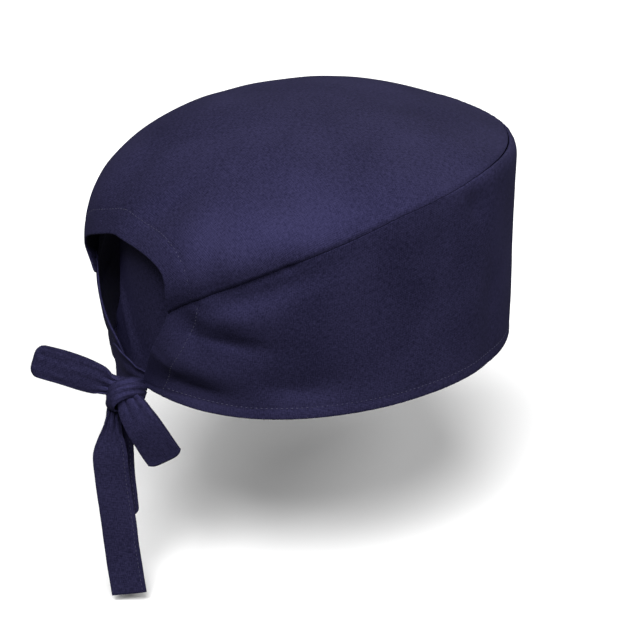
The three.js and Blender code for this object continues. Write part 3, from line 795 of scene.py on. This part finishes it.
def place(right, up, out):
    return knot_middle + RIGHT * right + UP * up + OUT * out


# %% A smooth line through points
def smooth_line(points):
    """A centripetal curve through all the points; it keeps tight where they are close."""
    ends = [2 * points[0] - points[1], *points, 2 * points[-1] - points[-2]]

    def at(t):
        span = min(max(t, 0), 1) * (len(points) - 1)
        i = min(int(span), len(points) - 2)
        w = span - i
        p = ends[i : i + 4]
        d = [max((b - a).length ** 0.5, 1e-6) for a, b in zip(p, p[1:])]
        m1 = (p[1] - p[0]) / d[0] - (p[2] - p[0]) / (d[0] + d[1]) + (p[2] - p[1]) / d[1]
        m2 = (p[2] - p[1]) / d[1] - (p[3] - p[1]) / (d[1] + d[2]) + (p[3] - p[2]) / d[2]
        m1, m2 = m1 * d[1], m2 * d[1]
        a, b = 2 * w**3 - 3 * w**2 + 1, w**3 - 2 * w**2 + w
        c, e = -2 * w**3 + 3 * w**2, w**3 - w**2
        return p[1] * a + m1 * b + p[2] * c + m2 * e

    return at


# %% Straps of flat cloth
STRAP_ACROSS = 18


def strap_rows(table, length, side, steps):
    points = [place(side * row[0] * length, row[1] * length, row[2] * TIE_WIDTH) for row in table]
    line = smooth_line(points)
    keyed = [(i / (len(table) - 1), *row) for i, row in enumerate(table)]
    wide = column(keyed, 4)
    gap = column(keyed, 5) if len(table[0]) > 4 else lambda t: 0
    rows = []
    for i in range(steps + 1):
        t = i / steps
        along = (line(min(t + 0.004, 1)) - line(max(t - 0.004, 0))).normalized()
        rows.append({"middle": line(t), "along": along, "across": OUT.cross(along).normalized(), "wide": wide(t) * TIE_WIDTH, "gap": gap(t)})
    return rows


def strap_point(row, part, sign, run, seed):
    """part: -0.5 to 0.5 across the strap. Pleats grow where the strap is squeezed."""
    squeeze = max(0, 1 - row["wide"] / TIE_WIDTH)
    drift = 0.12 * noise.noise(Vector((part * 3, run / 14, seed)))
    pleat = 1.3 * squeeze * math.cos((part + drift) * 2.6 * 2 * math.pi + seed)
    pleat += 0.5 * squeeze * math.cos((part - drift) * 5.1 * 2 * math.pi + 2 * seed)
    wave = 0.35 * noise.noise(Vector((part * 1.5, run / 17, seed)))
    crown = 0.5 * (0.25 - part * part) * 2
    edge = 0.2 * noise.noise(Vector((run / 9, seed, part)))
    point = row["middle"] + row["across"] * (part * row["wide"] + edge)
    return point + OUT * (sign * row["gap"] * (LOOP_GAP + TIE_CLOTH) / 2 + pleat + wave + crown)


def finish_strap(rows_of_points, name, nodes):
    """rows_of_points: for each row along the strap its points from side to side."""
    bm = bmesh.new()
    steps = len(rows_of_points) - 1
    bmesh.ops.create_grid(bm, x_segments=STRAP_ACROSS, y_segments=steps, size=0.5)
    run = [0.0]
    middle = STRAP_ACROSS // 2
    for a, b in zip(rows_of_points, rows_of_points[1:]):
        run.append(run[-1] + (b[middle] - a[middle]).length)
    flat = {}
    for v in bm.verts:
        i, j = round((v.co.y + 0.5) * steps), round((v.co.x + 0.5) * STRAP_ACROSS)
        v.co = rows_of_points[i][j]
        flat[v] = ((j / STRAP_ACROSS - 0.5) * TIE_WIDTH, run[i])
    lay_uv(bm, lambda v: flat[v])
    bmesh.ops.recalc_face_normals(bm, faces=bm.faces)
    area = sum(f.calc_area() for f in bm.faces)
    print(name, "run mm:", round(run[-1], 1), "area cm2:", round(area / 100, 2))
    return finish_piece(bm, name, nodes, TIE_CLOTH, 0.0, 0.45)


def make_tail(table, length, steps, name, node, seed):
    rows = strap_rows(table, length, 1, steps)
    parts = [j / STRAP_ACROSS - 0.5 for j in range(STRAP_ACROSS + 1)]
    points = [[strap_point(row, part, 0, i * length / steps, seed) for part in parts] for i, row in enumerate(rows)]
    return finish_strap(points, name, [node]), points


def make_loop(table, length, side, steps, name, node, seed):
    rows = strap_rows(table, length, side, steps)
    parts = [j / STRAP_ACROSS - 0.5 for j in range(STRAP_ACROSS + 1)]
    front = [[strap_point(row, part, 1, i * length / steps, seed) for part in parts] for i, row in enumerate(rows)]
    rear = [[strap_point(row, part, -1, i * length / steps, seed + 9) for part in parts] for i, row in enumerate(rows)]
    last, ends = rows[-1], list(zip(front[-1], rear[-1]))
    half = last["gap"] * (LOOP_GAP + TIE_CLOTH) / 2
    bend = []
    for t in (60, 30, 0, -30, -60):
        bend.append([(a + b) / 2 + (a - b) / 2 * math.sin(t * DEG) + last["along"] * half * math.cos(t * DEG) for a, b in ends])
    points = front + bend + rear[::-1]
    for i, row in enumerate(points):
        near_end = ease(1 - abs(i - (len(points) - 1) / 2) / 9)
        for j, part in enumerate(parts):
            row[j] = row[j] - last["along"] * (2.2 * near_end * (2 * abs(part)) ** 5)
    return finish_strap(points, name, [node]), points


tail_long, tail_long_points = make_tail(TAIL_LONG, TAIL_LONG_LENGTH, 72, "tail_long_cloth", "tie_tail_long", 1.3)
tail_short, tail_short_points = make_tail(TAIL_SHORT, TAIL_SHORT_LENGTH, 48, "tail_short_cloth", "tie_tail_short", 4.1)
loop_left, loop_left_points = make_loop(LOOP_LEFT, LOOP_LEFT_LENGTH, -1, 34, "loop_left_cloth", "bow_loop_left", 2.2)
loop_right, loop_right_points = make_loop(LOOP_RIGHT, LOOP_RIGHT_LENGTH, 1, 30, "loop_right_cloth", "bow_loop_right", 6.4)

# %% [markdown]
# ## The knot
#
# In a bow's knot one turn of the strap wraps over the others and hides where they cross.
# The wrap is a strip swept round a tight path, creased along its length; under it lies a
# firm packed core, the bundle of cloth that the wrap holds together.

# %% The knot's core and wrap
KNOT = [
    # across, high, deep, drop
    (-0.5, 0.12, 0.12, -0.22),
    (-0.44, 0.36, 0.34, -0.19),
    (-0.26, 0.5, 0.46, -0.11),
    (-0.05, 0.44, 0.5, -0.05),
    (0.16, 0.42, 0.5, -0.06),
    (0.36, 0.34, 0.4, -0.09),
    (0.46, 0.24, 0.26, -0.12),
    (0.5, 0.1, 0.12, -0.14),
]


def make_knot_core():
    high, deep, drop = (column(KNOT, i) for i in (1, 2, 3))
    bm = bmesh.new()
    bmesh.ops.create_uvsphere(bm, u_segments=48, v_segments=30, radius=1)
    for v in bm.verts:
        across = v.co.z * 0.5
        turn = math.atan2(v.co.x, v.co.y)
        ring = math.sqrt(max(0, 1 - v.co.z**2))
        crease = 1 + 0.07 * math.cos(5 * turn + 3 * across) * ring
        size = 0.82 if abs(across) < 0.42 else 0.82 * ease(0.5 - abs(across), 0, 0.08)
        up = math.cos(turn) * high(across) * KNOT_HEIGHT * crease * size + drop(across) * KNOT_HEIGHT
        out = math.sin(turn) * deep(across) * KNOT_DEPTH * crease * size
        v.co = place(across * KNOT_WIDTH * 0.92, up, out)
    bmesh.ops.recalc_face_normals(bm, faces=bm.faces)
    return finish_piece(bm, "knot_core", ["tie_knot"])


WRAP = [
    # right, up, out (mm), wide, lean (degrees that the strip is rolled about its run)
    (8.5, -2.5, -2.5, 8, 10),
    (9.0, 1.5, 1.5, 9, 10),
    (5.5, 4.2, 5.0, 9.5, 8),
    (0.0, 4.6, 6.4, 10, 0),
    (-5.2, 2.6, 6.4, 10.5, -12),
    (-8.6, -2.2, 4.6, 11, -20),
    (-8.8, -7.6, 2.2, 9.5, -20),
    (-6.0, -11.0, 0.5, 8, -10),
]


def make_wrap():
    line = smooth_line([place(*row[:3]) for row in WRAP])
    keyed = [(i / (len(WRAP) - 1), *row) for i, row in enumerate(WRAP)]
    wide, lean = column(keyed, 4), column(keyed, 5)
    centre = place(0, -2, 0)
    steps = 44
    bm = bmesh.new()
    bmesh.ops.create_grid(bm, x_segments=STRAP_ACROSS, y_segments=steps, size=0.5)
    flat = {}
    for v in bm.verts:
        part, t = v.co.x, v.co.y + 0.5
        middle = line(t)
        along = (line(min(t + 0.01, 1)) - line(max(t - 0.01, 0))).normalized()
        away = (middle - centre).normalized()
        across = along.cross(away).normalized()
        away = across.cross(along).normalized()
        tilt = lean(t) * DEG
        across, away = across * math.cos(tilt) + away * math.sin(tilt), away * math.cos(tilt) - across * math.sin(tilt)
        crease = 0.55 * math.cos(part * 2 * math.pi * 2.6 + 2.5 * t) + 0.25 * noise.noise(Vector((part * 4, t * 5, 3)))
        curl = -2.6 * (2 * part) ** 4 - 1.0 * (2 * part) ** 2
        v.co = middle + across * part * wide(t) + away * (crease + curl)
        flat[v] = (part * 12, t * 40)
    lay_uv(bm, lambda v: flat[v])
    bmesh.ops.recalc_face_normals(bm, faces=bm.faces)
    return finish_piece(bm, "knot_wrap", [], 0.9, 0.0, 0.3)


knot_core = make_knot_core()
knot_wrap = make_wrap()

# %% [markdown]
# ## The lead
#
# From the band's left end a short stretch of strap runs behind the knot to the right end.
# It turns over on its way, so its face catches the light as a small bright triangle.

# %% The lead behind the knot
LEAD_LOW, LEAD_WIDTH, LEAD_FALL, LEAD_START = 5.5, 11, 4, 19.5


def band_end(side, level):
    half, size = (open_right, OPENING_RIGHT) if side > 0 else (open_left, OPENING_LEFT)
    low, high = 0.0, 1.0
    for _ in range(20):
        share = (low + high) / 2
        turn = side * edge_turn(band_point, share, half, size)
        if band_point(turn, share).z < level:
            low = share
        else:
            high = share
    point = skin(band_point, turn, share)
    return Vector((point.x, point.y - 0.9, level))


def outside_band(x, level):
    """A place just outside the band's left end, or above the opening where the band would be."""
    share = min(max(level / (seam_high(170) * BAND_HEIGHT), 0), 1)
    low, high = math.pi / 2, math.pi
    for _ in range(20):
        turn = (low + high) / 2
        if band_point(-turn, share).x > x:
            low = turn
        else:
            high = turn
    point = skin(band_point, -turn, share)
    return Vector((x, point.y + 1.0, level))


def make_lead():
    steps, parts = 34, 14
    bm = bmesh.new()
    bmesh.ops.create_grid(bm, x_segments=steps, y_segments=parts, size=0.5)
    flat = {}
    for v in bm.verts:
        t, part = v.co.x + 0.5, v.co.y + 0.5
        right = band_end(1, LEAD_LOW - LEAD_FALL + (LEAD_WIDTH - 1) * part) + Vector((0.9, 0, 0))
        x = LEAD_START + (right.x - LEAD_START) * t
        level = -4 + 18 * part + (right.z + 4 - 18 * part) * ease(t, 0, 1.1)
        level += 6 * part * math.sin(math.pi * min(1.25 * t, 1))
        point = outside_band(max(x, 0), level)
        y = point.y + (right.y - point.y) * ease(t, 0.5, 1)
        pleat = 0.5 * ease(t, 0.1, 0.8) * math.cos(part * 2 * math.pi * 1.8 + t)
        v.co = Vector((x, y + pleat + 0.8 * math.sin(t * math.pi) * part, level))
        flat[v] = (part * 17, t * 30)
    lay_uv(bm, lambda v: flat[v])
    bmesh.ops.recalc_face_normals(bm, faces=bm.faces)
    return finish_piece(bm, "lead_cloth", ["tie_lead_left"], 0.9, 0.0, 0.3)


lead = make_lead()

# %% [markdown]
# ## Stitches
#
# A lockstitch shows as a row of short threads with small gaps. Each one is a low rounded
# bead of a few faces, laid on the cloth along a line worked out from the same form. They
# are one mesh per row, because hundreds of objects would be slow and hard to handle.

# %% Rows of stitches
STITCH_PITCH, STITCH_LENGTH, STITCH_WIDTH = 2.4, 1.5, 0.36


def stitch_row(bm, points, outs):
    """points: a line on the cloth. outs: the outward direction at each of them."""
    run = [0.0]
    for a, b in zip(points, points[1:]):
        run.append(run[-1] + (b - a).length)
    made, i = 0, 0
    for k in range(int(run[-1] / STITCH_PITCH)):
        want = (k + 0.5) * STITCH_PITCH
        while i < len(run) - 2 and run[i + 1] < want:
            i += 1
        part = (want - run[i]) / max(run[i + 1] - run[i], 1e-9)
        middle = points[i].lerp(points[i + 1], part)
        along = (points[i + 1] - points[i]).normalized()
        out = outs[i].lerp(outs[i + 1], part).normalized()
        side = out.cross(along).normalized()
        bead = bmesh.ops.create_uvsphere(bm, u_segments=6, v_segments=5, radius=0.5)["verts"]
        for v in bead:
            bend = -0.12 * (2 * v.co.z) ** 2
            v.co = middle + along * v.co.z * STITCH_LENGTH + side * v.co.x * STITCH_WIDTH + out * (v.co.y * STITCH_WIDTH * 0.7 + bend)
        made += 1
    return made


def line_on(surface, rows):
    points = [skin(surface, *row) for row in rows]
    outs = [directions(surface, *row)[3] for row in rows]
    return [p + o * 0.06 for p, o in zip(points, outs)], outs


def finish_stitches(bm, name):
    bmesh.ops.recalc_face_normals(bm, faces=bm.faces)
    return finish_piece(bm, name, [])


# %% Stitches of the hems
def offset_line(surface, rows, away):
    """Moves a line of (turn, share) that far over the surface, away from the opening."""
    points = [surface(*row) for row in rows]
    moved = []
    for i, (turn, share) in enumerate(rows):
        _, around, up, out = directions(surface, turn, share)
        tangent = (points[min(i + 1, len(points) - 1)] - points[max(i - 1, 0)]).normalized()
        across = tangent.cross(out)
        if across.dot(points[i] - Vector((0, points[i].y, 40))) < 0:
            across = -across
        a, b, c = around.dot(around), around.dot(up), up.dot(up)
        p, q = around.dot(across), up.dot(across)
        det = a * c - b * b
        moved.append((turn + (p * c - q * b) / det * away, share + (q * a - p * b) / det * away))
    return moved


crown_bm, band_bm = bmesh.new(), bmesh.new()
count = 0
for side, half, size in ((1, open_right, OPENING_RIGHT), (-1, open_left, OPENING_LEFT)):
    rows = crown_edge(half, size, side, 60)
    last, step = rows[-1], (rows[-1][0] - rows[-2][0], rows[-1][1] - rows[-2][1])
    rows += [(last[0] + k * step[0], last[1] + k * step[1]) for k in range(1, 9)]
    rows = [row for row in offset_line(crown_point, rows, HEM_WIDTH) if row[1] > 0.012]
    count += stitch_row(crown_bm, *line_on(crown_point, rows))
    rows = [(side * edge_turn(band_point, k / 30, half, size), k / 30) for k in range(42)]
    rows = [row for row in offset_line(band_point, rows, HEM_WIDTH) if 0.06 < row[1] < 0.98]
    count += stitch_row(band_bm, *line_on(band_point, rows))
rim_rows = []
for k in range(401):
    turn = (2.86 - 5.78 * k / 400)
    rim_rows.append((turn, 5.6 / (seam_high(abs(turn) / DEG) * BAND_HEIGHT)))
count += stitch_row(band_bm, *line_on(band_point, rim_rows))
crown_stitches = finish_stitches(crown_bm, "crown_stitches")
band_stitches = finish_stitches(band_bm, "band_stitches")
print("stitches in the hems:", count)


# %% Stitches of the straps
def strap_stitches(bm, points, inset, both=False, end=True):
    """Rows inset from the strap's sides, on both faces. The argument end is not used."""
    made = 0
    for face in (1, -1):
        lines = []
        for side in (1, -1) if both else (1,):
            j = STRAP_ACROSS - inset if side > 0 else inset
            lines.append([row[j] for row in points[6:]])
        for line in lines:
            outs = [OUT * face] * len(line)
            made += stitch_row(bm, [p + OUT * face * (TIE_CLOTH / 2 + 0.04) for p in line], outs)
    return made


tie_bm = bmesh.new()
made = strap_stitches(tie_bm, tail_long_points, 2)
made += strap_stitches(tie_bm, tail_short_points, 2)
tie_stitches = finish_stitches(tie_bm, "tie_stitches")
print("stitches on the straps:", made)

# %% [markdown]
# ## Cloth and thread
#
# Scrub caps are sewn from a plain weave of polyester and cotton. Dark cloth throws back
# little light, so what the eye reads is the soft sheen of its fibres, the fine mottling of
# the threads and their tiny relief. Each is one small group of nodes on real sizes.


# %% Nodes and colours
def to_linear(hex_colour):
    """sRGB hex to the linear colour that Blender's shaders use."""
    parts = [int(hex_colour[i : i + 2], 16) / 255 for i in (1, 3, 5)]
    return (*[p / 12.92 if p <= 0.04045 else ((p + 0.055) / 1.055) ** 2.4 for p in parts], 1.0)


def add_node(tree, kind, links=(), **settings):
    """Adds a node. settings are its own properties or, by name, its input sockets."""
    node = tree.nodes.new(kind)
    sockets = settings.pop("inputs", {})
    for key, value in settings.items():
        setattr(node, key, value)
    for key, value in sockets.items():
        node.inputs[key].default_value = value
    for key, source in dict(links).items():
        tree.links.new(source, node.inputs[key])
    return node


# %% Woven cloth
THREAD = 0.45 * MM


def woven_cloth(name, hex_dark, hex_light, roughness):
    material = bpy.data.materials.new(name)
    material.use_nodes = True
    tree = material.node_tree
    tree.nodes.clear()
    uv = add_node(tree, "ShaderNodeUVMap")
    spot = add_node(tree, "ShaderNodeTexCoord")
    # Slubs: long thin mottling along both threads, 0.5 mm wide and some 2 mm long
    warp = add_node(tree, "ShaderNodeMapping", {"Vector": uv.outputs["UV"]}, inputs={"Scale": (2000, 420, 1)})
    weft = add_node(tree, "ShaderNodeMapping", {"Vector": uv.outputs["UV"]}, inputs={"Scale": (420, 2000, 1)})
    slubs = []
    for source in (warp, weft):
        slubs.append(add_node(tree, "ShaderNodeTexNoise", {"Vector": source.outputs["Vector"]}, inputs={"Scale": 1.0, "Detail": 2.0, "Roughness": 0.6}))
    both = add_node(tree, "ShaderNodeMix", {"A": slubs[0].outputs["Fac"], "B": slubs[1].outputs["Fac"]}, data_type="FLOAT", inputs={"Factor": 0.5})
    # Fading: soft clouds a few centimetres wide, as dye takes unevenly
    fade = add_node(tree, "ShaderNodeTexNoise", {"Vector": spot.outputs["Object"]}, inputs={"Scale": 26.0, "Detail": 3.0})
    tone = add_node(tree, "ShaderNodeMath", {0: fade.outputs["Fac"], 2: both.outputs["Result"]}, operation="MULTIPLY_ADD", inputs={1: 0.26})
    ramp = add_node(tree, "ShaderNodeValToRGB", {"Fac": tone.outputs["Value"]})
    ramp.color_ramp.elements[0].position, ramp.color_ramp.elements[1].position = 0.52, 0.74
    ramp.color_ramp.elements[0].color = to_linear(hex_dark)
    ramp.color_ramp.elements[1].color = to_linear(hex_light)
    # Weave: two crossed waves, one thread each way, as relief
    waves = []
    for turn in ("X", "Y"):
        waves.append(add_node(tree, "ShaderNodeTexWave", {"Vector": uv.outputs["UV"]}, wave_type="BANDS", bands_direction=turn, wave_profile="SIN", inputs={"Scale": 0.314 / THREAD / 2, "Distortion": 1.2, "Detail": 1.0, "Detail Scale": 2.0}))
    weave = add_node(tree, "ShaderNodeMath", {0: waves[0].outputs["Fac"], 1: waves[1].outputs["Fac"]}, operation="MULTIPLY")
    height = add_node(tree, "ShaderNodeMath", {0: weave.outputs["Value"], 1: both.outputs["Result"]}, operation="ADD")
    bump = add_node(tree, "ShaderNodeBump", {"Height": height.outputs["Value"]}, inputs={"Strength": 0.5, "Distance": 0.14 * MM})
    shade = add_node(tree, "ShaderNodeBsdfPrincipled", {"Base Color": ramp.outputs["Color"], "Normal": bump.outputs["Normal"]})
    shade.inputs["Roughness"].default_value = roughness
    shade.inputs["IOR"].default_value = 1.5
    shade.inputs["Specular IOR Level"].default_value = 0.5
    shade.inputs["Specular Tint"].default_value = to_linear("#9794f3")
    shade.inputs["Sheen Weight"].default_value = 0.015
    shade.inputs["Sheen Roughness"].default_value = 0.5
    shade.inputs["Sheen Tint"].default_value = to_linear("#8a86e0")
    out = add_node(tree, "ShaderNodeOutputMaterial", {"Surface": shade.outputs["BSDF"]})
    print(name, "nodes:", len(tree.nodes))
    return material


def thread_finish(name, hex_colour):
    material = bpy.data.materials.new(name)
    material.use_nodes = True
    tree = material.node_tree
    tree.nodes.clear()
    spot = add_node(tree, "ShaderNodeTexCoord")
    ply = add_node(tree, "ShaderNodeTexNoise", {"Vector": spot.outputs["Object"]}, inputs={"Scale": 1800.0, "Detail": 1.0})
    bump = add_node(tree, "ShaderNodeBump", {"Height": ply.outputs["Fac"]}, inputs={"Strength": 0.3, "Distance": 0.1 * MM})
    shade = add_node(tree, "ShaderNodeBsdfPrincipled", {"Normal": bump.outputs["Normal"]})
    shade.inputs["Base Color"].default_value = to_linear(hex_colour)
    shade.inputs["Roughness"].default_value = 0.55
    shade.inputs["Sheen Weight"].default_value = 0.2
    add_node(tree, "ShaderNodeOutputMaterial", {"Surface": shade.outputs["BSDF"]})
    return material


poplin = woven_cloth("navy_polycotton_plain_weave", "#12111f", "#28263d", 0.7)
thread = thread_finish("navy_polyester_sewing_thread", "#252343")
for piece in (band, crown, flap, tail_long, tail_short, loop_left, loop_right, knot_core, knot_wrap, lead):
    piece.data.materials.append(poplin)
for piece in (crown_stitches, band_stitches, tie_stitches):
    piece.data.materials.append(thread)

# %% [markdown]
# ## What is cloth
#
# Each panel and strap is a sheet; its UV keeps the size of its flat cut.

# %% [markdown]
# ## Floor, light and camera
#
# The cap is held up as a head holds it, so its ties hang and its shadow falls free on a
# white floor. Three soft lamps stand side by side behind the camera and high, as one wide
# window, and a weak sky fills. The paper throws no light back up: the real one lies far
# below the cap, whose underside and inside stay dark, as in a photograph.

# %% Floor
FLOOR_LEVEL = -118 * MM
bm = bmesh.new()
bmesh.ops.create_grid(bm, x_segments=1, y_segments=1, size=8.0)
floor_mesh = bpy.data.meshes.new("floor")
bm.to_mesh(floor_mesh)
bm.free()
for v in floor_mesh.vertices:
    v.co.z = FLOOR_LEVEL
floor = bpy.data.objects.new("floor", floor_mesh)
bpy.context.scene.collection.objects.link(floor)
paper = bpy.data.materials.new("white_paper_matt")
paper.use_nodes = True
paper.node_tree.nodes["Principled BSDF"].inputs["Base Color"].default_value = to_linear("#f7f7f7")
paper.node_tree.nodes["Principled BSDF"].inputs["Roughness"].default_value = 0.95
paper.node_tree.nodes["Principled BSDF"].inputs["Specular IOR Level"].default_value = 0.0
floor_mesh.materials.append(paper)
floor.visible_diffuse = floor.visible_glossy = False

# %% Light
LAMPS = [
    # name, turn and height in degrees, spread, strength (1 makes a white paper facing it white)
    ("key_lamp", 234, 53, 26, 1.06),
    ("left_lamp", 206, 54, 26, 0.3),
    ("right_lamp", 274, 38, 26, 0.46),
    ("far_fill", 20, 45, 60, 0.09),
]


def towards(turn, height):
    a, e = turn * DEG, height * DEG
    return Vector((math.sin(a) * math.cos(e), -math.cos(a) * math.cos(e), math.sin(e)))


for name, turn, height, spread, strength in LAMPS:
    lamp_data = bpy.data.lights.new(name, "SUN")
    lamp_data.energy, lamp_data.angle = strength * math.pi, spread * DEG
    lamp = bpy.data.objects.new(name, lamp_data)
    bpy.context.scene.collection.objects.link(lamp)
    lamp.rotation_mode = "QUATERNION"
    lamp.rotation_quaternion = towards(turn, height).to_track_quat("Z", "Y")
sky = bpy.data.worlds.new("pale_sky")
sky.use_nodes = True
sky.node_tree.nodes["Background"].inputs["Color"].default_value = (1, 1, 1, 1)
sky.node_tree.nodes["Background"].inputs["Strength"].default_value = 0.1
bpy.context.scene.world = sky
bpy.context.scene.view_settings.view_transform = "Standard"

# %% Camera
target = Vector((-0.0329, 0.022, 0.03155))
back = towards(238, 25)
camera_data = bpy.data.cameras.new("camera")
camera_data.sensor_width, camera_data.lens = 36, 2272 / 625 * 36
camera = bpy.data.objects.new("camera", camera_data)
bpy.context.scene.collection.objects.link(camera)
camera.location = target + back * 1.1
camera.rotation_mode = "QUATERNION"
camera.rotation_quaternion = back.to_track_quat("Z", "Y")
bpy.context.scene.camera = camera
